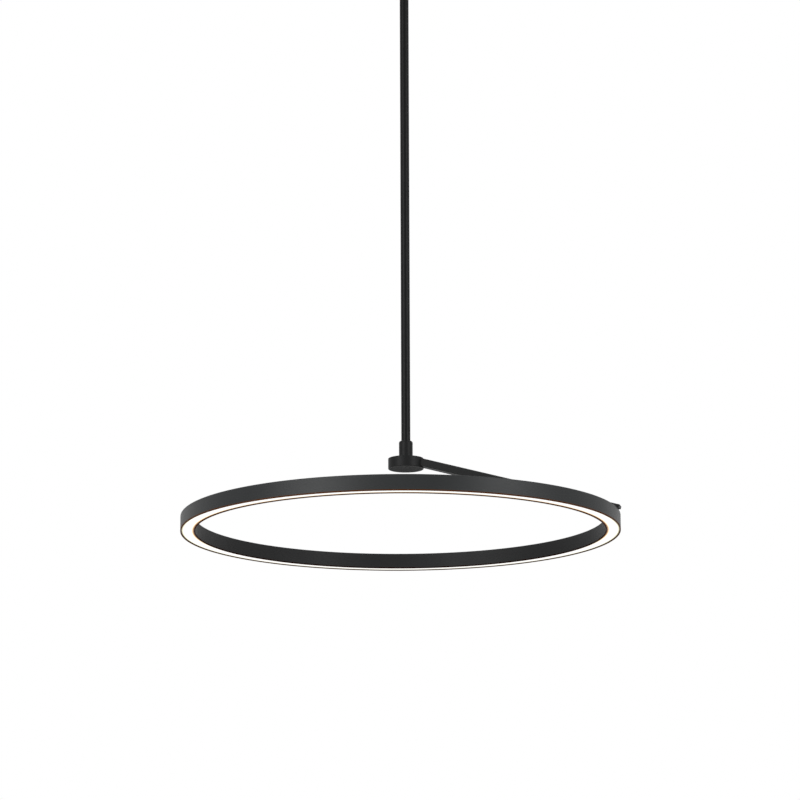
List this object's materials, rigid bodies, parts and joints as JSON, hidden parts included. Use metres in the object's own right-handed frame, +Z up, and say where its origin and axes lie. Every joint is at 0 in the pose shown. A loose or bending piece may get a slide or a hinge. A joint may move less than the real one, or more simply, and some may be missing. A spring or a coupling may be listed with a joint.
{
  "type": "led ring pendant light",
  "caption": "Matt black LED ring pendant: a lit ring channel held by a sloped side arm on a rigid rod, with a hang-straight swivel under a round ceiling canopy.",
  "frame": {"origin": "on the rod's axis in the ceiling plane, at the middle of the strap's two slots", "axes": "+Z up into the ceiling, +X along the side arm from the rod to the ring"},
  "size_m": [0.6131, 0.61, 0.9043],
  "materials": {
    "black_coat_steel": "matt black powder coat",
    "black_coat_aluminium": "matt black powder coat",
    "black_screw": "black oxide",
    "zinc_steel": "zinc plated",
    "earth_green": "green passivated",
    "bare_aluminium": "milled",
    "driver_case": "moulded",
    "terminal_plastic": "moulded",
    "foam_pad": "closed-cell foam",
    "nylon": "plain",
    "lead_sheath": "smooth sheath",
    "wire_sheath": "smooth sheath",
    "board_white": "white solder mask",
    "led_phosphor": "phosphor",
    "opal_diffuser": "opal, lit from inside"
  },
  "bodies": {
    "ceiling_set": {"crossbar": "zinc_steel", "ground_screw": "earth_green", "canopy": "black_coat_steel", "canopy_side_screws": "black_screw", "led_driver": "driver_case", "terminal_block": "terminal_plastic", "fixing_pads": "foam_pad", "hanger_bolt": "zinc_steel", "stop_washer": "zinc_steel", "hanger_washer": "zinc_steel", "hanger_nut": "zinc_steel", "input_lead": "lead_sheath", "driver_lead": "lead_sheath"},
    "swivel": {"swivel_yoke": "black_coat_steel", "stop_pin": "zinc_steel"},
    "pendant": {"swivel_knuckle": "black_coat_steel", "pivot_screws": "black_screw", "pivot_washers": "nylon", "stem": "black_coat_steel", "stem_set_screws": "black_screw", "bottom_collar": "black_coat_steel", "stem_nipple": "zinc_steel", "hub_nut": "zinc_steel", "hub_body": "black_coat_steel", "hub_cover": "black_coat_steel", "arm_root_block": "bare_aluminium", "arm_root_screws": "zinc_steel", "arm_tube": "black_coat_aluminium", "arm_grub_screws": "black_screw", "arm_end_plug": "black_coat_aluminium", "arm_foot_screws": "zinc_steel", "pendant_lead": "wire_sheath", "ring_channel": "black_coat_aluminium", "led_boards": "board_white", "led_chips": "led_phosphor", "diffuser": "opal_diffuser"}
  },
  "joints": [
    {"name": "swivel_turn", "type": "hinge", "parent": "ceiling_set", "child": "swivel", "pos_m": [0, 0, -0.0363], "axis": [0, 0, 1], "range_deg": [-165, 165]},
    {"name": "rod_tilt", "type": "hinge", "parent": "swivel", "child": "pendant", "pos_m": [0, 0, -0.0505], "axis": [1, 0, 0], "range_deg": [-45, 45]}
  ]
}
